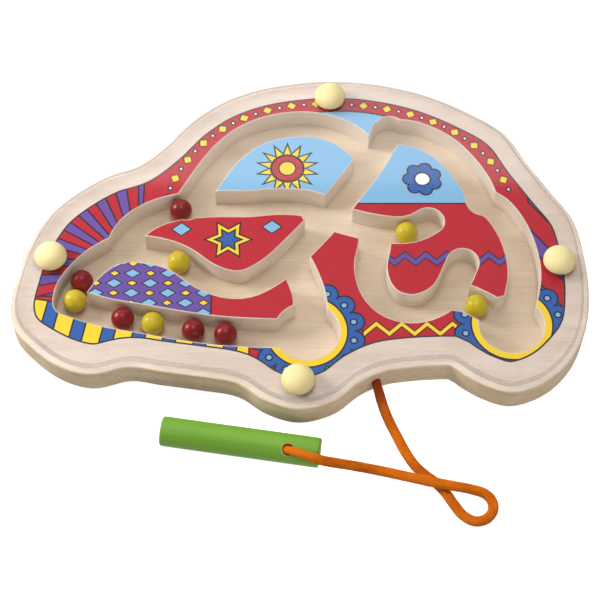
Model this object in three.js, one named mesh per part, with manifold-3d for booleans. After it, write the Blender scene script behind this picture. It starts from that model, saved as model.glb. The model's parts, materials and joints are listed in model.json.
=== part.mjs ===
// Magnetic maze board: a wooden toy cut to the outline of a small car.
// Ten painted steel balls run in channels between a base sheet and a clear cover, and a wand with a
// magnet in its tip, tied to the board by a cord, draws them along from above.
// Millimetres. X runs along the car, Y across it, Z up. The origin is the middle of the board's underside.

import * as THREE from 'three';
import { mergeVertices } from 'three/addons/utils/BufferGeometryUtils.js';
import Module from 'manifold-3d';

// Board
const BOARD_LENGTH = 300;
const BOARD_DEPTH = 207;
const BASE_THICKNESS = 3.5;
const EDGE_ROUNDING = 1;

// Balls, and the channels that take their size from them
const BALL_DIAMETER = 12;
const BALL_SIDE_CLEARANCE = 2.25;
const BALL_HEADROOM = 0.5;
const BALL_FLOOR_GAP = 0.1;
const BALL_SPACING = 0.8;
const CHANNEL_WIDTH = BALL_DIAMETER + 2 * BALL_SIDE_CLEARANCE;
const MAZE_THICKNESS = BALL_DIAMETER + BALL_HEADROOM;
const WHEEL_POCKET_DIAMETER = 33.5;

// Clear cover, which leaves room for the printed picture under it
const COVER_THICKNESS = 3;
const COVER_INSET = 3;
const PRINT_GAP = 0.3;

// Screws, and the domed caps over their heads
const SCREW_SHANK_DIAMETER = 3.5;
const SCREW_SHANK_LENGTH = 13;
const SCREW_TIP_LENGTH = 3;
const SCREW_HEAD_DIAMETER = 7;
const SCREW_HEAD_HEIGHT = 2.2;
const SCREW_HEAD_FLAT_DIAMETER = 4.6;
const CAP_DIAMETER = 17;
const CAP_HEIGHT = 7;
const CAP_RIM_HEIGHT = 0.8;

// Wand with its magnet and plug; it lies on the floor, turned and rolled so that its cord hole faces forward
const WAND_DIAMETER = 15;
const WAND_LENGTH = 80;
const WAND_CHAMFER = 1;
const WAND_TURN = THREE.MathUtils.degToRad(-8.8);
const WAND_ROLL = THREE.MathUtils.degToRad(31);
const WAND_HOLE_PLACE = [-5.5, -121.2];
const WAND_HOLE_FROM_END = 15.5;
const WAND_HOLE_DIAMETER = 6.4;
const WAND_HOLE_DEPTH = 5;
const WAND_HOLE_CHAMFER = 1.2;
const MAGNET_DIAMETER = 10;
const MAGNET_LENGTH = 8;
const PLUG_LENGTH = 3;

const CORD_DIAMETER = 4.4;

// Gap between pieces that are fitted into each other, and how far a cutter runs past what it cuts
const FIT_GAP = 0.3;
const CUT_OVERRUN = 1;

// Corners closer than this are one corner
const MERGE_DISTANCE = 1e-4;

// Fineness of the curved faces
const OUTLINE_STEPS = 240;
const EDGE_STEPS = 2;
const CHANNEL_STEP = 3;
const CHANNEL_END_STEPS = 14;
const POCKET_SIDES = 44;
const ROUND_SIDES = 24;
const DOME_STEPS = 6;
const BALL_SIDES = 14;
const BALL_RINGS = 8;
const CORD_SIDES = 10;
const CORD_STEPS = 56;

// Heights of the layers
const MAZE_FLOOR = BASE_THICKNESS;
const MAZE_TOP = MAZE_FLOOR + MAZE_THICKNESS;
const COVER_BOTTOM = MAZE_TOP + PRINT_GAP;
const COVER_TOP = COVER_BOTTOM + COVER_THICKNESS;

// Plan of the car's outline, clockwise from the nose
const OUTLINE = [
  [-149.5, -45], [-148, -29], [-143, -7], [-133, 14], [-118, 29], [-103, 39], [-88, 45], [-75, 57],
  [-61, 74], [-44, 88], [-23, 97.5], [2, 102.5], [20, 103.5], [42, 101.5], [68, 94.5], [92, 82.5],
  [112.8, 67], [124.8, 45.6], [136, 27], [146, 10], [150, -13], [150.5, -36], [147, -57], [138.4, -74.8],
  [124.4, -88.2], [107, -94.2], [92, -89.4], [81.5, -82.4], [77, -78.8], [70, -78.8], [60, -79.4], [43, -82.2],
  [31, -88], [18, -98.5],
  [0, -103.5], [-17, -98.5], [-31, -89], [-51, -85], [-71, -82], [-86, -79.7], [-105, -84], [-122, -79],
  [-137, -67.5], [-146, -57],
];

// Middle lines of the channels, in plan, and the middles of the round pockets in the wheels
const ROUTES = {
  arch: [[-60, 18], [-47, 42], [-38, 55], [-27, 65], [-12, 71.5], [5, 73], [19, 69.5], [30, 62], [38, 52]],
  pillar: [[50, 70], [37, 45], [21, 21], [13, 9]],
  roof: [[48, 68], [61, 67], [72, 62], [81, 55], [90, 43], [96, 31], [98.5, 21]],
  rear: [[98, 22], [106, 16.5], [113, 4], [117, -11], [117.5, -27], [113, -46]],
  scuttle: [[-60, 19], [-43, 20], [-27, 20], [-11, 21.5], [5, 20], [21, 13]],
  fender: [[-61, 19], [-75, 14.5], [-85, 8], [-91, 0], [-93.5, -9.5]],
  nose: [[-97, -9.5], [-106, -16], [-113, -24], [-118, -33], [-119, -41]],
  bumper: [[-119, -41], [-101, -47.3], [-80, -51.5], [-60, -55.5], [-40, -58.5], [-20, -59.8], [-5, -60]],
  middle: [
    [-93, -8], [-76, -10], [-63, -15], [-50, -25], [-38, -30.3], [-26, -29.8], [-12, -20.5], [2, -5], [15, 11],
  ],
  front_wheel: [[-3.5, -14], [0.5, -22.5], [4.5, -34], [6.3, -45]],
  dead_end: [[9.5, 14.5], [23, 9.5], [37, 5.3], [51, 3], [61, 4.3], [69, 8.8]],
  hook: [
    [40.7, 3], [39.5, -8], [37.5, -20], [40, -33], [47, -42], [58, -45.5], [69, -42.5], [78, -34.5], [86, -17],
  ],
  rear_wheel: [[78, -38], [86, -39], [96, -44.5]],
};
const WHEEL_POCKETS = [[4, -58.8], [109.2, -54.5]];

// A point inside each block that the channels leave free
const ISLANDS = {
  windscreen_island: [-5, 45],
  bonnet_island: [-35, 0],
  grille_island: [-60, -37],
  door_island: [72, -5],
};

const SCREW_PLACES = { back: [17, 89], left: [-130, -16], right: [136, -18.5], front: [-0.5, -89] };

// Balls by channel: how far along it, as a share of its length, less any distance back, and how far to the
// left of its middle line, as a share of the side clearance
const BALLS = [
  { name: 'ball_red_fender', route: 'fender', along: 0.05, lean: -0.85 },
  { name: 'ball_red_nose', route: 'nose', along: 0.895, back: BALL_DIAMETER + BALL_SPACING, lean: -0.2 },
  { name: 'ball_red_bumper_left', route: 'bumper', along: 0.245, lean: 0.8 },
  { name: 'ball_red_bumper_middle', route: 'bumper', along: 0.568, lean: 0.8 },
  { name: 'ball_red_bumper_right', route: 'bumper', along: 0.715, lean: 0.8 },
  { name: 'ball_yellow_nose', route: 'nose', along: 0.895, lean: 0.8 },
  { name: 'ball_yellow_middle', route: 'middle', along: 0.225, lean: 0.6 },
  { name: 'ball_yellow_bumper', route: 'bumper', along: 0.383, lean: 0.8 },
  { name: 'ball_yellow_dead_end', route: 'dead_end', along: 0.8, lean: 0.85 },
  { name: 'ball_yellow_rear_wheel', route: 'rear_wheel', along: 0.72, lean: 0.85 },
];

// The cord's middle line: out of the board's front wall, down to the floor, round a loop that it crosses,
// and up over the wand's end into its hole
const CORD_ROUTE = [
  [36.4, -73.5, 8], [38.2, -82.5, 8], [39.9, -89.5, 6.9], [41.9, -96, 4.5], [44.6, -103, 2.6],
  [48.3, -111.4, 2.25], [52.2, -120, 2.25], [56.6, -127.6, 2.25], [61.8, -133, 2.25], [67, -137.4, 2.25],
  [71.4, -142.6, 2.25], [75.2, -148.8, 2.25], [79.4, -154.6, 2.25], [84.8, -157.8, 2.25], [90.4, -156.8, 2.25],
  [94.1, -152.6, 2.25], [94.2, -147.4, 2.3], [90.6, -143.4, 2.9], [84, -141.8, 4.4], [76, -141.1, 6.5],
  [67, -139.6, 7.1], [58.5, -137, 5.8], [50.5, -134, 3.6], [43, -131.6, 2.4], [35.5, -130.2, 2.9],
  [27.5, -130.2, 6.3], [19.5, -131, 11], [11.5, -131.4, 14.9], [4.5, -130, 16.7], [-1, -127.9, 16.6],
  [-4.8, -125.7, 14.7], [-6.7, -123.9, 12.2],
].map((point) => new THREE.Vector3(...point));

const wasm = await Module();
wasm.setup();

// A closed geometry as a solid that can be joined and cut
function solidOf(geometry) {
  const bare = geometry.clone();
  bare.deleteAttribute('normal');
  bare.deleteAttribute('uv');
  const merged = mergeVertices(bare, MERGE_DISTANCE);
  return new wasm.Manifold(new wasm.Mesh({
    numProp: 3,
    vertProperties: merged.attributes.position.array,
    triVerts: new Uint32Array(merged.index.array),
  }));
}

function geometryOf(solid) {
  const { vertProperties, triVerts } = solid.getMesh();
  const geometry = new THREE.BufferGeometry();
  geometry.setAttribute('position', new THREE.BufferAttribute(vertProperties, 3));
  geometry.setIndex(new THREE.BufferAttribute(triVerts, 1));
  geometry.computeVertexNormals();
  return geometry;
}

function addPiece(group, name, solid, material) {
  const mesh = new THREE.Mesh(geometryOf(solid), material);
  mesh.name = name;
  group.add(mesh);
  return mesh;
}

function cutBy(solid, cutters) {
  return cutters.reduce((rest, cutter) => rest.subtract(cutter), solid);
}

// The drawn outline is fitted to the board's length and depth, and the rest of the plan goes with it
const drawnCurve = new THREE.CatmullRomCurve3(OUTLINE.map(([x, y]) => new THREE.Vector3(x, y, 0)), true);
const drawnPoints = drawnCurve.getSpacedPoints(OUTLINE_STEPS).slice(1);
const drawnBox = new THREE.Box3().setFromPoints(drawnPoints);
const drawnSize = drawnBox.getSize(new THREE.Vector3());
const drawnMiddle = drawnBox.getCenter(new THREE.Vector3());

function onPlan([x, y]) {
  return new THREE.Vector2(
    (x - drawnMiddle.x) * BOARD_LENGTH / drawnSize.x,
    (y - drawnMiddle.y) * BOARD_DEPTH / drawnSize.y,
  );
}

function leftOf(direction) {
  return new THREE.Vector2(-direction.y, direction.x).normalize();
}

// The board's outline, drawn in from its edge: it runs clockwise, so inwards is to the right
function outlineShape(inset) {
  const points = drawnPoints.map(({ x, y }) => onPlan([x, y]));
  return new THREE.Shape(points.map((point, i) => {
    const before = points.at(i - 1);
    const after = points[(i + 1) % points.length];
    return leftOf(after.clone().sub(before)).multiplyScalar(-inset).add(point);
  }));
}

function slab(shape, bottom, top) {
  const geometry = new THREE.ExtrudeGeometry(shape, { depth: top - bottom, bevelEnabled: false });
  return solidOf(geometry.translate(0, 0, bottom));
}

function roundedSlab(shape, bottom, top, rounding) {
  const geometry = new THREE.ExtrudeGeometry(shape, {
    depth: top - bottom - 2 * rounding,
    bevelThickness: rounding,
    bevelSize: rounding,
    bevelOffset: -rounding,
    bevelSegments: EDGE_STEPS,
  });
  return solidOf(geometry.translate(0, 0, bottom + rounding));
}

// A round post on a plan point, for holes and pockets
function post(diameter, { x, y }, bottom, top, sides = ROUND_SIDES) {
  const geometry = new THREE.CylinderGeometry(diameter / 2, diameter / 2, top - bottom, sides);
  return solidOf(geometry.rotateX(Math.PI / 2).translate(x, y, (bottom + top) / 2));
}

// A shape turned round the Z axis from pairs of radius and height
function turned(profile) {
  const points = profile.map(([radius, height]) => new THREE.Vector2(radius, height));
  return new THREE.LatheGeometry(points, ROUND_SIDES).rotateX(Math.PI / 2);
}

function routeCurve(name) {
  return new THREE.SplineCurve(ROUTES[name].map(onPlan));
}

// Half a turn, clockwise, from one side of a channel's end to the other
function roundEnd(middle, from) {
  return Array.from({ length: CHANNEL_END_STEPS - 1 }, (_, i) => (
    from.clone().rotateAround(middle, -Math.PI * (i + 1) / CHANNEL_END_STEPS)
  ));
}

// The strip that a round cutter clears along a route
function channelShape(curve) {
  const steps = Math.ceil(curve.getLength() / CHANNEL_STEP);
  const left = [];
  const right = [];
  for (let i = 0; i <= steps; i++) {
    const middle = curve.getPointAt(i / steps);
    const across = leftOf(curve.getTangentAt(i / steps)).multiplyScalar(CHANNEL_WIDTH / 2);
    left.push(middle.clone().add(across));
    right.unshift(middle.clone().sub(across));
  }
  const far = roundEnd(curve.getPointAt(1), left.at(-1));
  const near = roundEnd(curve.getPointAt(0), right.at(-1));
  return new THREE.Shape([...left, ...far, ...right, ...near]);
}

const wood = new THREE.MeshStandardMaterial({ color: 0xdcc8aa, roughness: 0.7 });
const clear = new THREE.MeshStandardMaterial({
  color: 0xf2f6f6,
  roughness: 0.1,
  transparent: true,
  opacity: 0.25,
});
const capYellow = new THREE.MeshStandardMaterial({ color: 0xfaebaa, roughness: 0.55 });
const steel = new THREE.MeshStandardMaterial({ color: 0xb8bcc0, roughness: 0.35, metalness: 1 });
const ballRed = new THREE.MeshStandardMaterial({ color: 0x9c2428, roughness: 0.35 });
const ballYellow = new THREE.MeshStandardMaterial({ color: 0xd8c034, roughness: 0.35 });
const wandGreen = new THREE.MeshStandardMaterial({ color: 0x7cb83c, roughness: 0.5 });
const magnetGrey = new THREE.MeshStandardMaterial({ color: 0x4a4a4c, roughness: 0.6, metalness: 0.6 });
const cordOrange = new THREE.MeshStandardMaterial({ color: 0xcd691e, roughness: 0.9 });

const toy = new THREE.Group();

// Body: a rounded slab, parted into the base sheet and the maze layer, which the channels cut through
const body = roundedSlab(outlineShape(0), 0, MAZE_TOP, EDGE_ROUNDING);
const [mazeBlank, baseBlank] = body.splitByPlane([0, 0, 1], MAZE_FLOOR);
const throughMaze = [MAZE_FLOOR - CUT_OVERRUN, MAZE_TOP + CUT_OVERRUN];
const channels = Object.keys(ROUTES).map((name) => slab(channelShape(routeCurve(name)), ...throughMaze));
const wheelPockets = WHEEL_POCKETS.map((place) => (
  post(WHEEL_POCKET_DIAMETER, onPlan(place), ...throughMaze, POCKET_SIDES)
));

const screwTip = COVER_TOP - SCREW_SHANK_LENGTH;
const screwHoles = Object.values(SCREW_PLACES).map((place) => (
  post(SCREW_SHANK_DIAMETER + 2 * FIT_GAP, onPlan(place), screwTip - FIT_GAP, COVER_TOP + CUT_OVERRUN)
));

// The cord's blind hole in the front wall lies along the cord's first stretch, and its cutter runs as far again
const [cordEnd, cordExit] = CORD_ROUTE;
const outOfBoard = cordExit.clone().sub(cordEnd);
const boardHoleRadius = CORD_DIAMETER / 2 + FIT_GAP;
const boardHoleLength = 2 * outOfBoard.length();
const boardHole = turned([
  [0, -FIT_GAP],
  [boardHoleRadius, -FIT_GAP],
  [boardHoleRadius, boardHoleLength],
  [0, boardHoleLength],
]);
boardHole.applyQuaternion(new THREE.Quaternion().setFromUnitVectors(
  new THREE.Vector3(0, 0, 1),
  outOfBoard.clone().normalize(),
));
boardHole.translate(...cordEnd);

addPiece(toy, 'base_board', cutBy(baseBlank, screwHoles), wood);
const mazeCutters = [...channels, ...wheelPockets, ...screwHoles, solidOf(boardHole)];
const mazeBlocks = cutBy(mazeBlank, mazeCutters).decompose();

function blockAt(place) {
  const probe = post(FIT_GAP, place, ...throughMaze);
  return mazeBlocks.find((block) => !block.intersect(probe).isEmpty());
}

addPiece(toy, 'maze_frame', blockAt(outlineShape(COVER_INSET).getPoints()[0]), wood);
for (const [name, place] of Object.entries(ISLANDS)) {
  addPiece(toy, name, blockAt(onPlan(place)), wood);
}

// Balls
const ball = solidOf(new THREE.SphereGeometry(BALL_DIAMETER / 2, BALL_SIDES, BALL_RINGS));
for (const { name, route, along, back = 0, lean } of BALLS) {
  const curve = routeCurve(route);
  const share = along - back / curve.getLength();
  const aside = leftOf(curve.getTangentAt(share)).multiplyScalar(lean * BALL_SIDE_CLEARANCE);
  const { x, y } = curve.getPointAt(share).add(aside);
  const mesh = addPiece(toy, name, ball, name.includes('red') ? ballRed : ballYellow);
  mesh.position.set(x, y, MAZE_FLOOR + BALL_FLOOR_GAP + BALL_DIAMETER / 2);
}

// Clear cover
const cover = cutBy(slab(outlineShape(COVER_INSET), COVER_BOTTOM, COVER_TOP), screwHoles);
addPiece(toy, 'clear_cover', cover, clear);

// Screws through the cover, and the caps that snap over their heads
const screw = solidOf(turned([
  [0, -SCREW_SHANK_LENGTH],
  [SCREW_SHANK_DIAMETER / 2, -SCREW_SHANK_LENGTH + SCREW_TIP_LENGTH],
  [SCREW_SHANK_DIAMETER / 2, 0],
  [SCREW_HEAD_DIAMETER / 2, 0],
  [SCREW_HEAD_DIAMETER / 2, SCREW_HEAD_HEIGHT / 2],
  [SCREW_HEAD_FLAT_DIAMETER / 2, SCREW_HEAD_HEIGHT],
  [0, SCREW_HEAD_HEIGHT],
]));

const recessRadius = SCREW_HEAD_DIAMETER / 2 + FIT_GAP;
const recessHeight = SCREW_HEAD_HEIGHT + FIT_GAP;
const dome = Array.from({ length: DOME_STEPS + 1 }, (_, i) => {
  const angle = Math.PI / 2 * i / DOME_STEPS;
  const rise = (CAP_HEIGHT - CAP_RIM_HEIGHT) * Math.sin(angle);
  return [i < DOME_STEPS ? CAP_DIAMETER / 2 * Math.cos(angle) : 0, CAP_RIM_HEIGHT + rise];
});
const cap = solidOf(turned([
  [0, recessHeight],
  [recessRadius, recessHeight],
  [recessRadius, 0],
  [CAP_DIAMETER / 2, 0],
  ...dome,
]));

for (const [side, place] of Object.entries(SCREW_PLACES)) {
  const { x, y } = onPlan(place);
  addPiece(toy, `screw_${side}`, screw, steel).position.set(x, y, COVER_TOP);
  addPiece(toy, `cap_${side}`, cap, capYellow).position.set(x, y, COVER_TOP);
}

// Wand: a dowel along X with its cord hole at the group's origin and the magnet's bore in its far end
const wand = new THREE.Group();
wand.position.set(...WAND_HOLE_PLACE, WAND_DIAMETER / 2);
wand.rotation.set(WAND_ROLL, 0, WAND_TURN, 'ZYX');
toy.add(wand);

const wandRadius = WAND_DIAMETER / 2;
const wandTip = WAND_HOLE_FROM_END - WAND_LENGTH;
const boreRadius = MAGNET_DIAMETER / 2 + FIT_GAP;
const boreEnd = wandTip + PLUG_LENGTH + MAGNET_LENGTH + 2 * FIT_GAP;
const dowel = turned([
  [0, boreEnd],
  [boreRadius, boreEnd],
  [boreRadius, wandTip],
  [wandRadius - WAND_CHAMFER, wandTip],
  [wandRadius, wandTip + WAND_CHAMFER],
  [wandRadius, WAND_HOLE_FROM_END - WAND_CHAMFER],
  [wandRadius - WAND_CHAMFER, WAND_HOLE_FROM_END],
  [0, WAND_HOLE_FROM_END],
]).rotateY(Math.PI / 2);

const holeRadius = WAND_HOLE_DIAMETER / 2;
const wandHole = turned([
  [0, wandRadius - WAND_HOLE_DEPTH],
  [holeRadius, wandRadius - WAND_HOLE_DEPTH],
  [holeRadius, wandRadius - WAND_HOLE_CHAMFER],
  [holeRadius + WAND_HOLE_CHAMFER + CUT_OVERRUN, wandRadius + CUT_OVERRUN],
  [0, wandRadius + CUT_OVERRUN],
]);
addPiece(wand, 'wand_body', cutBy(solidOf(dowel), [solidOf(wandHole)]), wandGreen);

function roundBar(diameter, length) {
  const geometry = new THREE.CylinderGeometry(diameter / 2, diameter / 2, length, ROUND_SIDES);
  return solidOf(geometry.rotateZ(Math.PI / 2));
}

const plug = addPiece(wand, 'wand_magnet_plug', roundBar(MAGNET_DIAMETER, PLUG_LENGTH), wandGreen);
plug.position.x = wandTip + PLUG_LENGTH / 2;
const magnet = addPiece(wand, 'wand_magnet', roundBar(MAGNET_DIAMETER, MAGNET_LENGTH), magnetGrey);
magnet.position.x = wandTip + PLUG_LENGTH + FIT_GAP + MAGNET_LENGTH / 2;

// Cord
const cordSection = new THREE.Shape(Array.from({ length: CORD_SIDES }, (_, i) => (
  new THREE.Vector2(CORD_DIAMETER / 2, 0).rotateAround(new THREE.Vector2(), 2 * Math.PI * i / CORD_SIDES)
)));
const cord = new THREE.ExtrudeGeometry(cordSection, {
  steps: CORD_STEPS,
  extrudePath: new THREE.CatmullRomCurve3(CORD_ROUTE),
});
addPiece(toy, 'cord', solidOf(cord), cordOrange);

export default toy;
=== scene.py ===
# Magnetic maze board: the looks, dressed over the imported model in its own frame, in metres.
import json
import math

import bmesh
import bpy
from mathutils import Matrix, Vector


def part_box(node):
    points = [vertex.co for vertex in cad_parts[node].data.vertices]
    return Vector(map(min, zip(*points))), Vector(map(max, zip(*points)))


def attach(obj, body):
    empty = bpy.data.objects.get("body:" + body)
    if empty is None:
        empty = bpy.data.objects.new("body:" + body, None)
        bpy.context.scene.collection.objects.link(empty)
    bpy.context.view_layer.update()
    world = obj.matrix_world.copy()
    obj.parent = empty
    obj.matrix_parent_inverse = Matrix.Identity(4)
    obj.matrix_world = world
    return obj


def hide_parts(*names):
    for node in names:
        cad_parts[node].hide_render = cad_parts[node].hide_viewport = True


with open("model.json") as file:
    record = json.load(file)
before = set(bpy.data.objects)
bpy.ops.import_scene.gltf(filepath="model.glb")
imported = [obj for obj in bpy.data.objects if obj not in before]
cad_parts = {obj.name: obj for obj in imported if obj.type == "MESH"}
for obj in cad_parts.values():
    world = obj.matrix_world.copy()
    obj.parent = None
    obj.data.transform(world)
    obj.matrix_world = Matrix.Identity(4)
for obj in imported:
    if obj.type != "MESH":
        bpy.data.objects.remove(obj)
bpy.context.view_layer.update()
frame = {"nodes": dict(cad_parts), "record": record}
nodes = frame["nodes"]
scene = bpy.context.scene
MM = 0.001

# Camera: the photograph looks down on the board from its front edge through a long lens,
# square to the board, from a little under a metre away.
CAMERA_PLACE = (-0.00013, -0.4795, 0.747)
CAMERA_TILT = math.radians(31)
CAMERA_LENS = 99

camera = bpy.data.objects.new("camera", bpy.data.cameras.new("camera"))
camera.location = CAMERA_PLACE
camera.rotation_euler = (CAMERA_TILT, 0, 0)
camera.data.lens = CAMERA_LENS
scene.collection.objects.link(camera)
scene.camera = camera

# Floor and light: a white sweep that glows, as a lit paper backdrop does, under dim white light from
# all round that fails towards the floor. A soft lamp stands at the toy's left, one above and one in
# front, and a broad panel behind lays a haze on the back of the clear cover.
FLOOR_SIZE = 12
FLOOR_DROP = 0.1 * MM
FLOOR_WHITE = (0.62, 0.62, 0.62, 1)
FLOOR_GLOW = 0.9
LAMPS = {
    "key_lamp": {"place": (-0.85, 0.22, 0.5), "size": (0.4, 0.4), "power": 9.5},
    "top_lamp": {"place": (0, 0.05, 1.3), "size": (0.6, 0.6), "power": 6.4},
    "front_lamp": {"place": (0.45, -1.15, 0.4), "size": (0.9, 0.5), "power": 4.6},
    "back_panel": {"place": (0, 0.75, 0.72), "size": (1.2, 0.38), "power": 3.4},
}
SURROUND_WHITE = (1, 1, 1, 1)
SURROUND_SHADE = (0.15, 0.15, 0.15, 1)
SURROUND_STRENGTH = 0.2
SHADE_FROM = -0.12
SHADE_TO = -0.5
MIX_UNDER = 6
MIX_OVER = 7
MIX_RESULT = 2

scene.view_settings.view_transform = "Standard"
paper = bmesh.new()
bmesh.ops.create_grid(paper, x_segments=1, y_segments=1, size=FLOOR_SIZE / 2)
bmesh.ops.translate(paper, verts=paper.verts, vec=(0, 0, -FLOOR_DROP))
floor = bpy.data.objects.new("floor", bpy.data.meshes.new("floor"))
paper.to_mesh(floor.data)
paper.free()
floor.visible_diffuse = False
scene.collection.objects.link(floor)
floor_white = bpy.data.materials.new("floor_white")
floor_white.use_nodes = True
floor_shader = floor_white.node_tree.nodes["Principled BSDF"]
floor_shader.inputs["Base Color"].default_value = FLOOR_WHITE
floor_shader.inputs["Roughness"].default_value = 0.9
floor_shader.inputs["Specular IOR Level"].default_value = 0
floor_shader.inputs["Emission Color"].default_value = SURROUND_WHITE
floor_shader.inputs["Emission Strength"].default_value = FLOOR_GLOW
floor.data.materials.append(floor_white)

for lamp_name, lamp in LAMPS.items():
    light = bpy.data.objects.new(lamp_name, bpy.data.lights.new(lamp_name, "AREA"))
    light.data.shape = "RECTANGLE"
    light.data.size, light.data.size_y = lamp["size"]
    light.data.energy = lamp["power"]
    light.location = lamp["place"]
    light.rotation_euler = (-Vector(lamp["place"])).to_track_quat("-Z", "Y").to_euler()
    scene.collection.objects.link(light)

surround = bpy.data.worlds.new("surround")
surround.use_nodes = True
sky = surround.node_tree
heading = sky.nodes.new("ShaderNodeTexCoord")
height = sky.nodes.new("ShaderNodeSeparateXYZ")
shading = sky.nodes.new("ShaderNodeMapRange")
blend = sky.nodes.new("ShaderNodeMix")
blend.data_type = "RGBA"
shading.inputs["From Min"].default_value = SHADE_TO
shading.inputs["From Max"].default_value = SHADE_FROM
blend.inputs[MIX_UNDER].default_value = SURROUND_SHADE
blend.inputs[MIX_OVER].default_value = SURROUND_WHITE
sky.links.new(heading.outputs["Generated"], height.inputs[0])
sky.links.new(height.outputs["Z"], shading.inputs["Value"])
sky.links.new(shading.outputs[0], blend.inputs[0])
sky.links.new(blend.outputs[MIX_RESULT], sky.nodes["Background"].inputs["Color"])
sky.nodes["Background"].inputs["Strength"].default_value = SURROUND_STRENGTH
scene.world = surround

# Base sheet: a thin sheet of pale board, sawn to the outline, with its lower edge rounded over.
# It is the floor of the channels. Its grain runs along the toy and shows most on the sawn side.
MERGE_DISTANCE = 1e-6
FLAT_ANGLE = math.radians(0.4)
SHARP_ANGLE = math.radians(38)
FLOOR_LIGHT = (230, 212, 185)
FLOOR_DARK = (212, 191, 161)
SIDE_LIGHT = (240, 215, 180)
SIDE_DARK = (212, 180, 138)
PORE_BROWN = (150, 118, 84)
FINE_FIBRES = 1100
BROAD_FIBRES = 560
FIBRES_ALONG = 45
WALL_SLOPE = 0.7


class Wire:
    """A socket in a material's node tree. A sum written with wires adds the Math nodes that it needs.

    An & keeps the larger of two values and an | the smaller.
    """

    def __init__(self, tree, socket=None):
        self.tree = tree
        self.socket = socket

    def plug(self, node, sockets):
        for name, value in sockets.items():
            if isinstance(value, Wire):
                self.tree.links.new(value.socket, node.inputs[name])
            else:
                node.inputs[name].default_value = value

    def node(self, kind, settings, sockets, output=0):
        made = self.tree.nodes.new(kind)
        for name, value in settings.items():
            setattr(made, name, value)
        self.plug(made, sockets)
        return Wire(self.tree, made.outputs[output])

    def shade(self, sockets):
        self.plug(self.tree.nodes["Principled BSDF"], sockets)

    def maths(self, operation, *others):
        values = dict(enumerate((self, *others)))
        return self.node("ShaderNodeMath", {"operation": operation}, values)

    def before(self, operation, first):
        return self.node("ShaderNodeMath", {"operation": operation}, {0: first, 1: self})

    def __add__(self, other):
        return self.maths("ADD", other)

    def __sub__(self, other):
        return self.maths("SUBTRACT", other)

    def __mul__(self, other):
        return self.maths("MULTIPLY", other)

    def __radd__(self, other):
        return self.before("ADD", other)

    def __rsub__(self, other):
        return self.before("SUBTRACT", other)

    def __rmul__(self, other):
        return self.before("MULTIPLY", other)

    def __abs__(self):
        return self.maths("ABSOLUTE")

    def __and__(self, other):
        return self.maths("MAXIMUM", other)

    def __or__(self, other):
        return self.maths("MINIMUM", other)

    def rise(self, low, high):
        sockets = {"Value": self, "From Min": low, "From Max": high}
        return self.node("ShaderNodeMapRange", {"interpolation_type": "SMOOTHSTEP"}, sockets)

    def mix(self, under, over):
        sockets = {0: self, MIX_UNDER: under, MIX_OVER: over}
        return self.node("ShaderNodeMix", {"data_type": "RGBA"}, sockets, MIX_RESULT)

    def bump(self, depth, strength):
        sockets = {"Height": self, "Distance": depth, "Strength": strength}
        return self.node("ShaderNodeBump", {}, sockets)

    def place(self, turn=0.0, stretch=(1, 1, 1)):
        """Where a point lies on the piece, turned about the vertical and then stretched."""
        spot = self.node("ShaderNodeTexCoord", {}, {}, "Object")
        about_z = {"rotation_type": "Z_AXIS"}
        turned = self.node("ShaderNodeVectorRotate", about_z, {"Vector": spot, "Angle": turn})
        return self.node("ShaderNodeVectorMath", {"operation": "MULTIPLY"}, {0: turned, 1: stretch})

    def noise(self, spot, detail=2.0, scale=1.0):
        sockets = {"Vector": spot, "Scale": scale, "Detail": detail}
        return self.node("ShaderNodeTexNoise", {}, sockets)


def pigment(red, green, blue):
    """A colour as it looks on screen, each part from 0 to 255, in the renderer's linear light."""
    return (*(((part / 255 + 0.055) / 1.055) ** 2.4 for part in (red, green, blue)), 1.0)


def new_finish(name):
    made = bpy.data.materials.new(name)
    made.use_nodes = True
    return made, Wire(made.node_tree)


def bare_board(name, light, dark, fibres_per_metre=FINE_FIBRES):
    """Sanded pale board: broad soft bands, fibres along the toy and short darker pores."""
    made, wood = new_finish(name)
    bands = wood.noise(wood.place(stretch=(9, 70, 70)), detail=2)
    fibres = wood.noise(wood.place(stretch=(FIBRES_ALONG, fibres_per_metre, fibres_per_metre)), detail=4)
    mottle = wood.noise(wood.place(stretch=(120, 160, 160)), detail=3)
    pores = wood.noise(wood.place(stretch=(170, 2300, 2300)), detail=1).rise(0.64, 0.76)
    tone = 0.45 * bands + 0.35 * fibres + 0.2 * mottle
    ground = tone.rise(0.34, 0.66).mix(pigment(*dark), pigment(*light))
    colour = (pores * 0.22).mix(ground, pigment(*PORE_BROWN))
    relief = (fibres - 0.7 * pores).bump(0.12 * MM, 0.5)
    wood.shade({"Base Color": colour, "Roughness": 0.52 + 0.2 * fibres, "Normal": relief})
    return made


def sawn_block(node):
    """A packed block as one closed mesh, with its flat faces whole again."""
    block = bmesh.new()
    block.from_mesh(nodes[node].data)
    bmesh.ops.remove_doubles(block, verts=block.verts, dist=MERGE_DISTANCE)
    bmesh.ops.dissolve_limit(block, angle_limit=FLAT_ANGLE, verts=block.verts, edges=block.edges)
    return block


def make_piece(shape, name, finishes, body, slot, *stands_for):
    """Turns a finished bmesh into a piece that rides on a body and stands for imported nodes."""
    mesh = bpy.data.meshes.new(name)
    for face in shape.faces:
        face.smooth = True
    shape.to_mesh(mesh)
    shape.free()
    mesh.set_sharp_from_angle(angle=SHARP_ANGLE)
    for finish in finishes:
        mesh.materials.append(finish)
    piece = bpy.data.objects.new(name, mesh)
    scene.collection.objects.link(piece)
    weighting = piece.modifiers.new("flat_faces", "WEIGHTED_NORMAL")
    weighting.keep_sharp = True
    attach(piece, body)
    if stands_for:
        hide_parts(*stands_for)
    return piece


def is_wall(face):
    return abs(face.normal.z) < WALL_SLOPE


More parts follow.
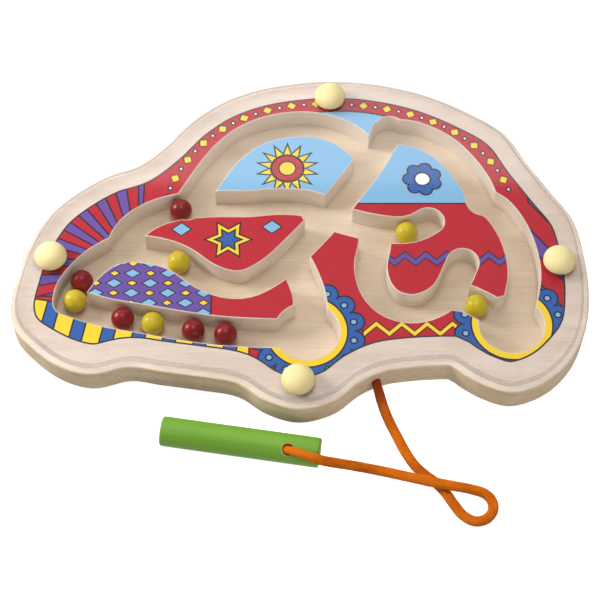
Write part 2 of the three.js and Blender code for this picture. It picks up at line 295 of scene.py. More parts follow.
floor_board = bare_board("floor_board", FLOOR_LIGHT, FLOOR_DARK)
sawn_side = bare_board("sawn_side", SIDE_LIGHT, SIDE_DARK, BROAD_FIBRES)
sheet = sawn_block("base_board")
for face in sheet.faces:
    face.material_index = 1 if is_wall(face) else 0
make_piece(sheet, "base_sheet", [floor_board, sawn_side], "board", "bare_wood", "base_board")

# Maze layer: a thick board with the channels milled right through it, which leaves an outer ring
# and four loose blocks, all glued to the base sheet. Their upper edges are lightly sanded.
BLOCKS = {
    "maze_frame": "maze_ring",
    "windscreen_island": "windscreen_block",
    "bonnet_island": "bonnet_block",
    "grille_island": "grille_block",
    "door_island": "door_block",
}
SANDED_EDGE = 0.35 * MM
STEEP_ANGLE = math.radians(60)
MAZE_LIGHT = (231, 215, 199)
MAZE_DARK = (215, 197, 177)
MILLED_LIGHT = (236, 225, 210)
MILLED_DARK = (224, 211, 194)
MAZE_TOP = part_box("maze_frame")[1].z

sanded_top = bare_board("sanded_top", MAZE_LIGHT, MAZE_DARK)
milled_wall = bare_board("milled_wall", MILLED_LIGHT, MILLED_DARK)


def is_rim(edge):
    """True for an edge where a channel's wall meets the top."""
    on_top = all(abs(vert.co.z - MAZE_TOP) < MERGE_DISTANCE for vert in edge.verts)
    return on_top and edge.calc_face_angle(0) > STEEP_ANGLE


def soften(shape, edges, width, segments):
    """Rounds edges over, with nothing else moved."""
    bmesh.ops.bevel(
        shape, geom=edges, offset=width, offset_type="OFFSET", segments=segments, profile=0.5,
        affect="EDGES", material=-1, clamp_overlap=False,
    )


def outer_wall(block):
    """The walls that can be reached from a block's leftmost corner without crossing its top."""
    corner = min(block.verts, key=lambda vert: vert.co.x)
    found = set()
    waiting = [face for face in corner.link_faces if is_wall(face)]
    while waiting:
        face = waiting.pop()
        found.add(face)
        beside = {other for edge in face.edges for other in edge.link_faces if is_wall(other)}
        waiting += beside - found
    return found


for node, name in BLOCKS.items():
    block = sawn_block(node)
    rim = [edge for edge in block.edges if is_rim(edge)]
    soften(block, rim, SANDED_EDGE, segments=2)
    outside = outer_wall(block) if node == "maze_frame" else ()
    for face in block.faces:
        face.material_index = 1 if face in outside else 2 if is_wall(face) else 0
    make_piece(block, name, [sanded_top, sawn_side, milled_wall], "board", "bare_wood", node)

# Printed picture: ink on the top of the maze layer, drawn in a little from the channels and well in
# from the outer edge. Plain ornament in six inks, with thin dark lines round every shape.
PRINT_MARGIN = 11.2 * MM
FRONT_MARGIN = 5 * MM
FRONT_FROM = -48 * MM
FRONT_TO = -72 * MM
PRINT_RIM = 0.55 * MM
PRINT_DEPTH = 0.06 * MM
PRINT_SINK = 0.02 * MM
PRINT_OVERRUN = 1 * MM
CUT_MERGE = 0.01 * MM
BORDER_WIDTH = 0.9 * MM
FACING = 0.99
INK = pigment(34, 26, 36)
FADED_INK = pigment(52, 42, 54)
RED = pigment(186, 17, 35)
PURPLE = pigment(104, 74, 156)
YELLOW = pigment(250, 212, 44)
TYRE_BLUE = pigment(36, 92, 168)
SKY_BLUE = pigment(130, 186, 222)
WHITE = pigment(250, 250, 250)

# The pictures are drawn in millimetres, on the board seen from above.
LINE_WIDTH = 0.9
INK_SOFTNESS = 0.06
WHEELS = ((3.4, -58.9), (108.5, -54.6))
WHEEL_POCKET = 16.75


def below(edge, level):
    """1 on the near side of an edge, given as a distance in millimetres that is negative inside a shape."""
    sockets = {"Value": edge, "From Min": level + INK_SOFTNESS, "From Max": level - INK_SOFTNESS}
    return edge.node("ShaderNodeMapRange", {}, sockets)


def printed(picture, edge, colour):
    """A shape in one ink, with a dark line round it, over the picture so far."""
    lined = below(edge, LINE_WIDTH / 2).mix(picture, INK)
    return below(edge, -LINE_WIDTH / 2).mix(lined, colour)


def reach(x, y):
    return (x * x + y * y).maths("SQRT")


def spokes(x, y, count, phase=0.0):
    """The angle from the nearest of a ring of spokes, always positive, and the distance from the middle."""
    turn = y.maths("ARCTAN2", x) + (math.tau + phase)
    return (turn + math.pi / count).maths("PINGPONG", math.pi / count), reach(x, y)


def stripe(along, half_pitch, shift):
    """The distance from the nearest line in a row of evenly spaced lines."""
    return (along + shift).maths("PINGPONG", half_pitch)


def wave(along, length, height):
    """A row of sharp waves."""
    return stripe(along, length / 2, 100 * length) * (2 * height / length) - height / 2


def off_petal(angle, distance, ring_radius):
    """The distance from the middle of the nearest petal in a ring of petals."""
    across = 2 * ring_radius * distance * angle.maths("COSINE")
    return (distance * distance + ring_radius * ring_radius - across).maths("SQRT")


def blossom(picture, x, y, middle):
    """A ring of rounded petals round a wheel's pocket, with a bright band inside it."""
    ring_radius = 24.6
    petal_radius = 5.6
    dot_radius = 1.7
    band_width = 4.2
    angle, distance = spokes(x - middle[0], y - middle[1], count=14)
    lobe = off_petal(angle, distance, ring_radius)
    picture = printed(picture, (lobe - petal_radius) | (distance - ring_radius), TYRE_BLUE)
    picture = printed(picture, lobe - dot_radius, SKY_BLUE)
    return printed(picture, distance - (WHEEL_POCKET + band_width), YELLOW)


def star(x, y, middle, points, tip, notch):
    """The edge of a star with straight sides."""
    angle, distance = spokes(x - middle[0], y - middle[1], points, math.pi / 2)
    half = math.pi / points
    side = Vector((notch * math.cos(half) - tip, notch * math.sin(half))).normalized()
    across = distance * angle.maths("COSINE") - tip
    return across * side.y - distance * angle.maths("SINE") * side.x


def roof_beads(picture, x, y):
    """Diamonds and dots in turn on a path that follows the roof, over a strip of pale sky."""
    middle = (22, -10)
    crown = math.radians(85)
    path_radius = 99
    path_lean = 1.6
    path_sway = 2.4
    path_foot = 26
    sky_radius = 92
    sky_foot = 30
    beads = 46
    bead_reach = 2.9
    dot_radius = 1.1
    roof_x = x - middle[0]
    roof_y = y - middle[1]
    bead_angle, distance = spokes(roof_x, roof_y, beads)
    dot_angle, _ = spokes(roof_x, roof_y, beads, math.pi / beads)
    from_crown = roof_y.maths("ARCTAN2", roof_x) - crown
    path = path_radius + path_lean * from_crown - path_sway * (4 * from_crown).maths("COSINE")
    off_path = abs(distance - path)
    above_foot = path_foot - y
    picture = printed(picture, (distance - sky_radius) & (sky_foot - y), SKY_BLUE)
    bead = off_path + bead_angle * path_radius - bead_reach
    picture = printed(picture, bead & above_foot, YELLOW)
    dot = reach(off_path, dot_angle * path_radius) - dot_radius
    return printed(picture, dot & above_foot, WHITE)


def nose_rays(picture, x, y):
    middle = (-84, -22)
    foot = -38
    rays = 26
    angle, distance = spokes(x - middle[0], y - middle[1], rays)
    ray = (angle - math.pi / (2 * rays)) * distance
    return printed(picture, ray & (x - middle[0]) & (foot - y), PURPLE)


def bumper_blocks(picture, x, y):
    """A sloping band of blocks in two colours."""
    slope = 0.17
    top = -63
    end = -26
    block_pitch = 8
    block_reach = 3.4
    band = (y + slope * x - top) & (x - end)
    block = stripe(x - slope * y, block_pitch, shift=200) - block_reach
    picture = printed(picture, band, YELLOW)
    return printed(picture, block & band, TYRE_BLUE)


def sill_zigzag(picture, x, y):
    height = -57.5
    start = 32
    end = 84
    half_width = 1.7
    zigzag = abs(y - height + wave(x, length=13, height=6)) - half_width
    return printed(picture, zigzag & (start - x) & (x - end), YELLOW)


def tail_stripes(picture, x, y):
    start = 122
    foot = -46
    stripe_pitch = 9
    stripe_reach = 3.6
    slanting = stripe(x * 0.8 + y * 0.6, stripe_pitch, shift=300) - stripe_reach
    return printed(picture, slanting & (start - x) & (foot - y), PURPLE)


def ring_picture(x, y):
    """Red ground with its ornament in five places, and a blossom round each wheel's pocket."""
    picture = RED
    for ornament in (roof_beads, nose_rays, bumper_blocks, sill_zigzag, tail_stripes):
        picture = ornament(picture, x, y)
    for middle in WHEELS:
        picture = blossom(picture, x, y, middle)
    return picture


def windscreen_picture(x, y):
    """A pale sky with a many-rayed sun."""
    sun = (-7, 43)
    ray_tip = 16.5
    ray_root = 9
    ray_spread = 0.32
    disc_radius = 8.6
    heart_radius = 4.6
    angle, distance = spokes(x - sun[0], y - sun[1], count=14)
    rays = (angle * distance - ray_spread * (ray_tip - distance)) & (ray_root - distance)
    picture = printed(SKY_BLUE, rays, YELLOW)
    picture = printed(picture, distance - disc_radius, RED)
    return printed(picture, distance - heart_radius, YELLOW)


def bonnet_picture(x, y):
    """Red, with a star inside a star and a diamond at each side."""
    middle = (-38, -3)
    diamonds = ((-63, 3.5), (-15, 5))
    diamond_reach = 4.2
    picture = printed(RED, star(x, y, middle, points=6, tip=12.5, notch=6.6), YELLOW)
    picture = printed(picture, star(x, y, middle, points=6, tip=7.2, notch=3.8), TYRE_BLUE)
    for place in diamonds:
        diamond = abs(x - place[0]) * 0.8 + abs(y - place[1]) - diamond_reach
        picture = printed(picture, diamond, SKY_BLUE)
    return picture


def grille_picture(x, y):
    """Purple harlequin diamonds, and a plain red end."""
    pitch = 7.5
    large_reach = 3.4
    small_reach = 2.2
    red_end = -46
    across = stripe(x * 0.8 + y * 1.25, pitch, shift=400)
    back = stripe(x * 0.8 - y * 1.25, pitch, shift=400)
    picture = printed(PURPLE, (across & back) - large_reach, SKY_BLUE)
    picture = printed(picture, ((pitch - across) & (pitch - back)) - small_reach, YELLOW)
    return printed(picture, red_end - x, RED)


def door_picture(x, y):
    """Pale sky over red, with a flower above the line between them and a zigzag below it."""
    waist = 20
    zigzag_height = -15
    zigzag_half_width = 2.1
    flower = (66, 36)
    petal_ring = 7
    petal_radius = 3.6
    heart_radius = 4.2
    picture = printed(RED, waist - y, SKY_BLUE)
    zigzag = abs(y - zigzag_height + wave(x, length=11, height=5)) - zigzag_half_width
    picture = printed(picture, zigzag, PURPLE)
    angle, distance = spokes(x - flower[0], y - flower[1], count=7)
    picture = printed(picture, off_petal(angle, distance, petal_ring) - petal_radius, TYRE_BLUE)
    return printed(picture, distance - heart_radius, WHITE)


def ink_finish(name, draw):
    """Print on sanded wood: even colour, with a trace of the fibres under it."""
    made, ink = new_finish(name)
    along = ink.node("ShaderNodeSeparateXYZ", {}, {0: ink.place(stretch=(1 / MM, 1 / MM, 1 / MM))})
    across = Wire(ink.tree, along.socket.node.outputs["Y"])
    fibres = ink.noise(ink.place(stretch=(FIBRES_ALONG, FINE_FIBRES, FINE_FIBRES)), detail=4)
    soak = ink.noise(ink.place(), detail=3, scale=140)
    colour = (0.012 * fibres + 0.016 * soak).mix(draw(along, across), WHITE)
    relief = fibres.bump(0.05 * MM, 0.3)
    ink.shade({
        "Base Color": colour,
        "Roughness": 0.42 + 0.16 * fibres,
        "Normal": relief,
        "Specular IOR Level": 0.2,
    })
    return made


def blank(shape, finishes):
    """A bmesh as an object, for cutting."""
    mesh = bpy.data.meshes.new("blank")
    shape.to_mesh(mesh)
    shape.free()
    for finish in finishes:
        mesh.materials.append(finish)
    made = bpy.data.objects.new("blank", mesh)
    scene.collection.objects.link(made)
    return made


def cut(shape, tool, operation, finishes):
    """What is left of a closed shape after a closed tool has cut it."""
    work = blank(shape, finishes)
    cutter = blank(tool, finishes)
    saw = work.modifiers.new("saw", "BOOLEAN")
    saw.operation = operation
    saw.object = cutter
    saw.solver = "EXACT"
    saw.use_self = True
    saw.use_hole_tolerant = True
    result = bmesh.new()
    result.from_object(work, bpy.context.evaluated_depsgraph_get())
    bpy.data.objects.remove(work)
    bpy.data.objects.remove(cutter)
    bmesh.ops.remove_doubles(result, verts=result.verts, dist=CUT_MERGE)
    bmesh.ops.dissolve_degenerate(result, edges=result.edges, dist=CUT_MERGE)
    return result


def keep_faces(shape, wanted):
    """Leaves only the wanted faces of a shape."""
    spare = [face for face in shape.faces if not wanted(face)]
    bmesh.ops.delete(shape, geom=spare, context="FACES")


def thicken(shape, bottom, top):
    """Gives flat faces that look up a thickness, from one height to another."""
    bmesh.ops.scale(shape, vec=(1, 1, 0), verts=shape.verts)
    bmesh.ops.translate(shape, vec=(0, 0, bottom), verts=shape.verts)
    raised = bmesh.ops.extrude_face_region(shape, geom=shape.faces[:], use_keep_orig=True)["geom"]
    corners = [item for item in raised if isinstance(item, bmesh.types.BMVert)]
    bmesh.ops.translate(shape, vec=(0, 0, top - bottom), verts=corners)


def draw_in(shape, width):
    """Draws a line a width inside the edge of flat faces, and returns the faces outside the line."""
    return bmesh.ops.inset_region(
        shape, faces=shape.faces[:], thickness=width, use_boundary=True, use_even_offset=True,
    )["faces"]


def print_film():
    """The whole printed sheet: the board's outline drawn in, further at the front, and edged with a line."""
    film = sawn_block("base_board")
    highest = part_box("base_board")[0].z + MM
    keep_faces(film, lambda face: face.normal.z < -FACING and face.calc_center_median().z < highest)
    bmesh.ops.reverse_faces(film, faces=film.faces)
    bmesh.ops.delete(film, geom=draw_in(film, PRINT_MARGIN), context="FACES")
    for vert in film.verts:
        share = min(max((vert.co.y - FRONT_FROM) / (FRONT_TO - FRONT_FROM), 0), 1)
        vert.co.y += FRONT_MARGIN * share * share * (3 - 2 * share)
    for face in draw_in(film, BORDER_WIDTH):
        face.material_index = 1
    thicken(film, MAZE_TOP - PRINT_SINK, MAZE_TOP + PRINT_DEPTH)
    return film


def block_top(node):
    """A tall post over a block's top face, drawn in from its edges, that cuts the film to fit."""
    top = sawn_block(node)
    lowest = MAZE_TOP - MERGE_DISTANCE
    keep_faces(top, lambda face: face.normal.z > FACING and face.calc_center_median().z > lowest)
    bmesh.ops.delete(top, geom=draw_in(top, PRINT_RIM), context="FACES")
    bmesh.ops.remove_doubles(top, verts=top.verts, dist=PRINT_RIM)
    thicken(top, MAZE_TOP - PRINT_OVERRUN, MAZE_TOP + PRINT_OVERRUN)
    return top


PICTURES = {
    "maze_frame": ring_picture,
    "windscreen_island": windscreen_picture,
    "bonnet_island": bonnet_picture,
    "grille_island": grille_picture,
    "door_island": door_picture,
}
border_ink, border = new_finish("border_ink")
border_soak = border.noise(border.place(), detail=3, scale=300)
border.shade({"Base Color": border_soak.mix(INK, FADED_INK), "Roughness": 0.45})
for node, draw in PICTURES.items():
    inks = [ink_finish(draw.__name__, draw), border_ink]
    film = cut(print_film(), block_top(node), "INTERSECT", inks)
    make_piece(film, "print_" + BLOCKS[node], inks, "board", "bare_wood")

# Balls: steel balls dipped in semi-gloss enamel, five red and five yellow, loose in the channels.
# Handling leaves faint scuffs and a slight unevenness in the paint.
BALL_DIAMETER = 12 * MM
BALL_ROUNDS = 4
BALL_RED = (140, 10, 13)
BALL_RED_DEEP = (126, 8, 10)
BALL_YELLOW = (212, 190, 32)
BALL_YELLOW_DEEP = (200, 176, 24)


def enamel(name, bright, deep):
    made, paint = new_finish(name)
    cloud = paint.noise(paint.place(), detail=3, scale=160)
    scuff = paint.noise(paint.place(turn=0.6, stretch=(300, 2600, 900)), detail=2).rise(0.62, 0.75)
    colour = cloud.rise(0.3, 0.7).mix(pigment(*deep), pigment(*bright))
    relief = paint.noise(paint.place(), detail=2, scale=900).bump(0.05 * MM, 0.35)
    paint.shade({
        "Base Color": colour,
        "Roughness": 0.32 + 0.2 * scuff,
        "Normal": relief,
        "Specular IOR Level": 0.3,
        "Coat Weight": 0.06,
    })
    return made


enamels = {
    "red": enamel("red_enamel", BALL_RED, BALL_RED_DEEP),
    "yellow": enamel("yellow_enamel", BALL_YELLOW, BALL_YELLOW_DEEP),
}
for body, members in frame["record"]["behaviour"]["bodies"].items():
    if not body.endswith("_ball"):
        continue
    node = members[0]
    colour = node.split("_")[1]
    low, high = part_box(node)
    ball = bmesh.new()
    bmesh.ops.create_icosphere(ball, subdivisions=BALL_ROUNDS, radius=BALL_DIAMETER / 2)
    bmesh.ops.translate(ball, verts=ball.verts, vec=(low + high) / 2)
    make_piece(ball, "enamel_" + node, [enamels[colour]], body, "ball_" + colour, node)

# Clear cover: a sheet of clear plastic cut to the outline, a little inside the wooden edge, with
# polished faces and a sawn edge that looks frosted and faintly violet. Screws hold it to the ring.
SIDES = ("back", "left", "right", "front")
COVER_EDGE = 0.3 * MM
COVER_ROUNDING = 1.5 * MM
COVER_UNDERSIDE = -0.9
COVER_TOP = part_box("clear_cover")[1].z
SCREW_REACH = 6 * MM
COVER_TINT = (0.98, 0.975, 0.982, 1)
COVER_MIRROR = 0.04
COVER_GLOSS = 0.06
MIRROR_POWER = 5
FROST_LIGHT = (240, 232, 240)
FROST_DARK = (226, 216, 226)
FROST_ALPHA = 0.32
GLARING_LAMPS = ("key_lamp", "top_lamp", "front_lamp")

polished, top_face = new_finish("polished_face")
clear = top_face.node("ShaderNodeBsdfTransparent", {}, {"Color": COVER_TINT})
gloss = top_face.node("ShaderNodeBsdfGlossy", {}, {"Roughness": COVER_GLOSS})
slant = top_face.node("ShaderNodeLayerWeight", {}, {"Blend": 0.5}, "Facing")
mirror = COVER_MIRROR + (1 - COVER_MIRROR) * slant.maths("POWER", MIRROR_POWER)
pane = top_face.node("ShaderNodeMixShader", {}, {0: mirror, 1: clear, 2: gloss})
top_face.plug(top_face.tree.nodes["Material Output"], {"Surface": pane})

lower_face, under = new_finish("lower_face")
through = under.node("ShaderNodeBsdfTransparent", {}, {"Color": COVER_TINT})
under.plug(under.tree.nodes["Material Output"], {"Surface": through})

sawn_edge, frost = new_finish("sawn_edge")
saw_marks = frost.noise(frost.place(stretch=(500, 500, 2600)), detail=3)
frost_colour = saw_marks.rise(0.3, 0.7).mix(pigment(*FROST_DARK), pigment(*FROST_LIGHT))
frost.shade({"Base Color": frost_colour, "Roughness": 0.45, "Alpha": FROST_ALPHA})


def by_screw(edge):
    """True for an edge round one of the screws' holes."""
    boxes = [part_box("screw_" + side) for side in SIDES]
    return any((edge.verts[0].co - (low + high) / 2).xy.length < SCREW_REACH for low, high in boxes)


cover = sawn_block("clear_cover")
corners = [edge for edge in cover.edges if edge.calc_face_angle(0) > STEEP_ANGLE]
upper = [edge for edge in corners if edge.verts[0].co.z > COVER_TOP - MERGE_DISTANCE]
rounded = [edge for edge in upper if not by_screw(edge)]
softened = [edge for edge in corners if edge not in rounded]
soften(cover, rounded, COVER_ROUNDING, segments=4)
soften(cover, softened, COVER_EDGE, segments=2)
for face in cover.faces:
    face.material_index = 0 if face.normal.z > FACING else 1 if face.normal.z < COVER_UNDERSIDE else 2
pane_piece = make_piece(
    cover, "cover_sheet", [polished, lower_face, sawn_edge], "board", "clear_sheet", "clear_cover",
)

# The mirror images of these lamps would hide the maze from the sides, so they don't light the cover.
unlit = bpy.data.collections.new("unlit")
unlit.objects.link(pane_piece)
unlit.collection_objects[0].light_linking.link_state = "EXCLUDE"
for lamp_name in GLARING_LAMPS:
    bpy.data.objects[lamp_name].light_linking.receiver_collection = unlit

# Screws: four plated steel screws with low rounded heads, driven through the cover into the ring.
# They hold the cover down, and the caps hide them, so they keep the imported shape.
STEEL_LIGHT = (206, 208, 212)
STEEL_DARK = (150, 152, 156)

plated, steel = new_finish("plated_steel")
plating = steel.noise(steel.place(), detail=3, scale=900)
steel_colour = plating.rise(0.3, 0.7).mix(pigment(*STEEL_DARK), pigment(*STEEL_LIGHT))
steel.shade({"Base Color": steel_colour, "Roughness": 0.25 + 0.2 * plating, "Metallic": 1})
for side in SIDES:
    nodes["screw_" + side].data.materials.clear()
    nodes["screw_" + side].data.materials.append(plated)

# Caps: four pale yellow domes moulded in plastic, with a recess underneath that takes a screw's head.
# They are pressed on, and their skin is satin with a fine grain from the mould.
CAP_RADIUS = 8.5 * MM
CAP_HEIGHT = 7 * MM
CAP_RIM = 0.8 * MM
CAP_FOOT = 0.35 * MM
RECESS_RADIUS = 3.8 * MM
RECESS_HEIGHT = 2.5 * MM
DOME_STEPS = 20
CAP_STEPS = 56
CAP_LIGHT = (239, 221, 160)
CAP_DARK = (235, 215, 152)


def turned(profile, steps):
    """A shape turned on a lathe from pairs of radius and height that start and end on its axis."""
    shape = bmesh.new()
    corners = [shape.verts.new((radius, 0, height)) for radius, height in profile]
    sides = [shape.edges.new(pair) for pair in zip(corners, corners[1:])]
    bmesh.ops.spin(
        shape, geom=corners + sides, cent=(0, 0, 0), axis=(0, 0, 1), angle=math.tau, steps=steps,
        use_merge=True,
    )
    bmesh.ops.remove_doubles(shape, verts=shape.verts, dist=MERGE_DISTANCE)
    bmesh.ops.recalc_face_normals(shape, faces=shape.faces)
    return shape


moulded, cap_skin = new_finish("moulded_yellow")
cap_cloud = cap_skin.noise(cap_skin.place(), detail=3, scale=110)
cap_colour = cap_cloud.rise(0.3, 0.7).mix(pigment(*CAP_DARK), pigment(*CAP_LIGHT))
cap_grain = cap_skin.noise(cap_skin.place(), detail=2, scale=2200).bump(0.04 * MM, 0.3)
cap_skin.shade({"Base Color": cap_colour, "Roughness": 0.5 + 0.12 * cap_cloud, "Normal": cap_grain})

dome = []
for step in range(DOME_STEPS + 1):
    angle = math.pi / 2 * step / DOME_STEPS
    dome.append((CAP_RADIUS * math.cos(angle), CAP_RIM + (CAP_HEIGHT - CAP_RIM) * math.sin(angle)))
dome[-1] = (0, CAP_HEIGHT)
cap_profile = [
    (0, RECESS_HEIGHT), (RECESS_RADIUS, RECESS_HEIGHT), (RECESS_RADIUS, 0),
    (CAP_RADIUS - CAP_FOOT, 0), (CAP_RADIUS, CAP_FOOT), *dome,
]
for side in SIDES:
    low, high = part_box("cap_" + side)
    cap = turned(cap_profile, CAP_STEPS)
    bmesh.ops.translate(cap, verts=cap.verts, vec=((low.x + high.x) / 2, (low.y + high.y) / 2, low.z))
    make_piece(cap, "dome_cap_" + side, [moulded], "board", "cap_yellow", "cap_" + side)

# Wand: a length of beech dowel with softened ends, painted green. A magnet sits in a bore in its tip
# behind a plug, and the cord goes into a bare countersunk hole near its other end.
WAND_PLACE = Vector((-5.5, -121.2, 7.5)) * MM
WAND_TURN = math.radians(-8.8)
WAND_ROLL = math.radians(31)
WAND_RADIUS = 7.5 * MM
WAND_LENGTH = 80 * MM
WAND_HOLE_FROM_END = 15.5 * MM
WAND_SOFT_END = 1.1 * MM
BORE_RADIUS = 5.3 * MM
BORE_DEPTH = 11.6 * MM
PLUG_RADIUS = 5 * MM
PLUG_LENGTH = 3 * MM
PLUG_SOFT_EDGE = 0.4 * MM
HOLE_RADIUS = 2.9 * MM
HOLE_DEPTH = 5 * MM
HOLE_CHAMFER = 0.8 * MM
HOLE_OVERRUN = 1 * MM
HOLE_STEPS = 40
BAR_SIDES = 72
GREEN_LIGHT = (116, 162, 32)
GREEN_DARK = (102, 154, 36)
DOWEL_LIGHT = (226, 200, 160)
DOWEL_DARK = (196, 162, 118)
FERRITE_LIGHT = (86, 86, 90)
FERRITE_DARK = (58, 58, 60)

painted, paint = new_finish("green_paint")
streaks = paint.noise(paint.place(turn=-WAND_TURN, stretch=(40, 1300, 1300)), detail=4)
brushed = paint.noise(paint.place(turn=-WAND_TURN, stretch=(16, 160, 160)), detail=2)
green = (0.6 * brushed + 0.4 * streaks).rise(0.35, 0.65).mix(pigment(*GREEN_DARK), pigment(*GREEN_LIGHT))
paint.shade({
    "Base Color": green,
    "Roughness": 0.48 + 0.16 * streaks,
    "Normal": streaks.bump(0.05 * MM, 0.25),
})
bare_dowel = bare_board("bare_dowel", DOWEL_LIGHT, DOWEL_DARK)
wand_stance = (
    Matrix.Translation(WAND_PLACE) @ Matrix.Rotation(WAND_TURN, 4, "Z") @ Matrix.Rotation(WAND_ROLL, 4, "X")
)
along_x = Matrix.Rotation(math.pi / 2, 4, "Y")
wand_tip = WAND_HOLE_FROM_END - WAND_LENGTH


def round_bar(radius, length, start, soft_edge):
    """A round bar along X from a starting place, with softened ends."""
    bar = bmesh.new()
    bmesh.ops.create_cone(
        bar, cap_ends=True, cap_tris=False, segments=BAR_SIDES, radius1=radius, radius2=radius, depth=length,
    )
    bmesh.ops.transform(bar, matrix=Matrix.Translation((start + length / 2, 0, 0)) @ along_x, verts=bar.verts)
    ends = [edge for edge in bar.edges if edge.calc_face_angle(0) > STEEP_ANGLE]
    soften(bar, ends, soft_edge, segments=5)
    return bar


dowel = round_bar(WAND_RADIUS, WAND_LENGTH, wand_tip, WAND_SOFT_END)
tip_face = [face for face in dowel.faces if face.normal.x < -FACING]
bmesh.ops.inset_region(
    dowel, faces=tip_face, thickness=WAND_RADIUS - WAND_SOFT_END - BORE_RADIUS, use_even_offset=True,
)
bore = bmesh.ops.extrude_face_region(dowel, geom=tip_face)["geom"]
bore_end = [item for item in bore if isinstance(item, bmesh.types.BMVert)]
bmesh.ops.translate(dowel, vec=(BORE_DEPTH, 0, 0), verts=bore_end)
bmesh.ops.delete(dowel, geom=[face for face in tip_face if face.is_valid], context="FACES_ONLY")
hole_bottom = WAND_RADIUS - HOLE_DEPTH
hole_top = WAND_RADIUS + HOLE_OVERRUN
drill = turned([
    (0, hole_bottom), (HOLE_RADIUS, hole_bottom), (HOLE_RADIUS, WAND_RADIUS - HOLE_CHAMFER),
    (HOLE_RADIUS + HOLE_CHAMFER + HOLE_OVERRUN, hole_top), (0, hole_top),
], HOLE_STEPS)
for face in drill.faces:
    face.material_index = 1
wand_finishes = [painted, bare_dowel]
dowel = cut(dowel, drill, "DIFFERENCE", wand_finishes)
bmesh.ops.transform(dowel, matrix=wand_stance, verts=dowel.verts)
make_piece(dowel, "wand_dowel", wand_finishes, "wand", "wand_green", "wand_body")

plug = round_bar(PLUG_RADIUS, PLUG_LENGTH, wand_tip, PLUG_SOFT_EDGE)
bmesh.ops.transform(plug, matrix=wand_stance, verts=plug.verts)
make_piece(plug, "wand_plug", [painted], "wand", "wand_green", "wand_magnet_plug")

ferrite, magnet = new_finish("ferrite")
magnet_grain = magnet.noise(magnet.place(), detail=4, scale=1500)
ferrite_colour = magnet_grain.mix(pigment(*FERRITE_DARK), pigment(*FERRITE_LIGHT))
magnet.shade({"Base Color": ferrite_colour, "Roughness": 0.5 + 0.2 * magnet_grain, "Metallic": 0.5})
nodes["wand_magnet"].data.materials.clear()
nodes["wand_magnet"].data.materials.append(ferrite)

# Cord: a soft orange braid of twenty-four plies round a loose core, glued into a hole in the board's
# front wall. It lies on the floor in a loop that it crosses, and goes up over the wand into its hole.
CORD_ROUTE = [
    (36.4, -73.5, 8), (38.2, -82.5, 8), (39.9, -89.5, 6.9), (41.9, -96, 4.5),
    (44.6, -103, 2.6), (48.3, -111.4, 2.25), (52.2, -120, 2.25), (56.6, -127.6, 2.25),
    (61.8, -133, 2.25), (67, -137.4, 2.25), (71.4, -142.6, 2.25), (75.2, -148.8, 2.25),
    (79.4, -154.6, 2.25), (84.8, -157.8, 2.25), (90.4, -156.8, 2.25), (94.1, -152.6, 2.25),
    (94.2, -147.4, 2.3), (90.6, -143.4, 2.9), (84, -141.8, 4.4), (76, -141.1, 6.5),
    (67, -139.6, 7.1), (58.5, -137, 5.8), (50.5, -134, 3.6), (43, -131.6, 2.4),
    (35.5, -130.2, 2.9), (27.5, -130.2, 6.3), (19.5, -131, 11), (11.5, -131.4, 14.9),
    (4.5, -130, 16.7), (-1, -127.9, 16.6), (-4.8, -125.7, 14.7), (-6.7, -123.9, 12.2),
]
ROUTE_STEPS = 60
PLY_STEP = 0.3 * MM
PLIES = 24
PLY_RADIUS = 0.42 * MM
BRAID_RADIUS = 1.62 * MM
BRAID_WEAVE = 0.18 * MM
BRAID_PITCH = 13.5 * MM
CORE_RADIUS = 1.5 * MM
OVAL = 0.3
CROWN = 0.24
OVAL_FROM = 4 * MM
OVAL_TO = 20 * MM
CREASE_DEPTH = 0.28 * MM
CREASE_WIDTH = 0.4
ORANGE_LIGHT = (226, 125, 9)
ORANGE_DARK = (196, 95, 6)
# Painted shade: the cord is coloured a darker red-brown where it leaves the board, standing for the board's
# shadow on it.
BOARD_SHADE_RUSSET = (146, 46, 28)
BOARD_SHADE_FROM = -108 * MM
BOARD_SHADE_TO = -80 * MM


def smooth_route(points):
    """Even steps along the smooth curve through the points."""
    first, last = points[0], points[-1]
    chain = [2 * first - points[1], *points, 2 * last - points[-2]]
    fine = []
    for before, start, end, after in zip(chain, chain[1:], chain[2:], chain[3:]):
        for step in range(ROUTE_STEPS):
            t = step / ROUTE_STEPS
            drift = (end - before) * t
            bend = (2 * before - 5 * start + 4 * end - after) * t ** 2
            twist = (3 * start - before - 3 * end + after) * t ** 3
            fine.append((2 * start + drift + bend + twist) / 2)
    even = [first]
    for spot in fine:
        if (spot - even[-1]).length >= PLY_STEP:
            even.append(spot)
    return even


middle_line = smooth_route([Vector(point) * MM for point in CORD_ROUTE])
cord_length = sum((b - a).length for a, b in zip(middle_line, middle_line[1:]))
plies = bpy.data.curves.new("plies", "CURVE")
plies.dimensions = "3D"
plies.bevel_depth = PLY_RADIUS
plies.bevel_resolution = 0
plies.use_fill_caps = True


def lay_ply(spots, radius):
    line = plies.splines.new("POLY")
    line.points.add(len(spots) - 1)
    for point, spot in zip(line.points, spots):
        point.co = (*spot, 1)
        point.radius = radius / PLY_RADIUS


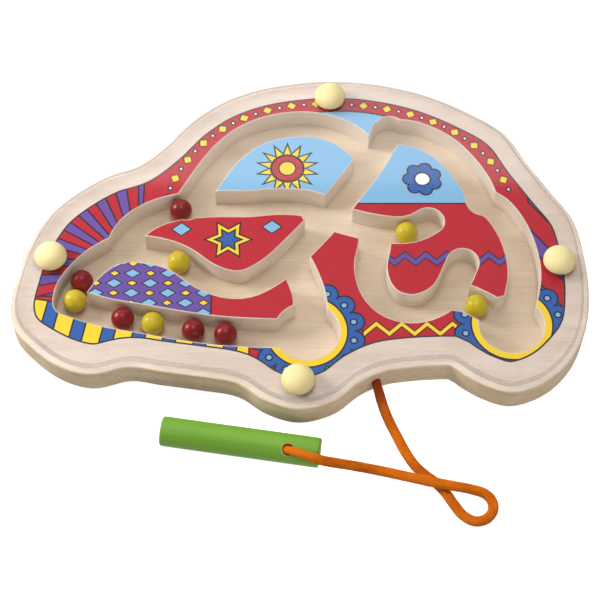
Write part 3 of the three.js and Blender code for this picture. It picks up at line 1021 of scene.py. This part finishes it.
def ply_spots(number):
    """Where one ply runs: half of them wind one way and half the other, over and under in turn."""
    handed = 1 if number % 2 else -1
    spots = []
    gone = 0.0
    for i, spot in enumerate(middle_line):
        ahead = middle_line[min(i + 1, len(middle_line) - 1)]
        behind = middle_line[max(i - 1, 0)]
        gone += (spot - behind).length
        heading = (ahead - behind).normalized()
        side = heading.cross(Vector((0, 0, 1))).normalized()
        up = side.cross(heading)
        turn = math.tau * gone / BRAID_PITCH
        angle = handed * turn + math.tau * (number // 2) / (PLIES / 2)
        from_end = min(gone, cord_length - gone)
        share = min(max((from_end - OVAL_FROM) / (OVAL_TO - OVAL_FROM), 0), 1)
        from_top = math.remainder(angle - math.pi / 2, math.tau)
        crease = CREASE_DEPTH * share * math.exp(-((from_top / CREASE_WIDTH) ** 2))
        radius = BRAID_RADIUS + handed * BRAID_WEAVE * math.cos(PLIES / 2 * turn) - crease
        wide = side * (math.cos(angle) * (1 + OVAL * share))
        tall = up * (math.sin(angle) * (1 + (CROWN * share if math.sin(angle) > 0 else 0)))
        spots.append(spot + (wide + tall) * radius)
    return spots


lay_ply(middle_line, CORE_RADIUS)
for number in range(PLIES):
    lay_ply(ply_spots(number), PLY_RADIUS)
braid_curve = bpy.data.objects.new("braid_curve", plies)
scene.collection.objects.link(braid_curve)
braid = bmesh.new()
braid.from_mesh(braid_curve.evaluated_get(bpy.context.evaluated_depsgraph_get()).to_mesh())
bpy.data.objects.remove(braid_curve)
bmesh.ops.remove_doubles(braid, verts=braid.verts, dist=MERGE_DISTANCE)

braided, yarn = new_finish("orange_braid")
toward_board = yarn.node("ShaderNodeSeparateXYZ", {}, {0: yarn.place()}, "Y")
lint = yarn.noise(yarn.place(), detail=4, scale=2600)
fade = yarn.noise(yarn.place(), detail=2, scale=90)
orange = (0.5 * lint + 0.5 * fade).rise(0.3, 0.7).mix(pigment(*ORANGE_DARK), pigment(*ORANGE_LIGHT))
# Painted shade: towards the board the orange turns a dark red-brown, as if in the board's shadow.
cord_colour_and_shade = toward_board.rise(BOARD_SHADE_FROM, BOARD_SHADE_TO).mix(orange, pigment(*BOARD_SHADE_RUSSET))
yarn.shade({
    "Base Color": cord_colour_and_shade,
    "Roughness": 0.8 + 0.15 * lint,
    "Normal": lint.bump(0.1 * MM, 0.6),
    "Specular IOR Level": 0.2,
    "Sheen Weight": 0.2,
    "Sheen Roughness": 0.4,
    "Sheen Tint": pigment(*ORANGE_LIGHT),
})
cord = make_piece(braid, "braided_cord", [braided], "board", "cord_orange", "cord")
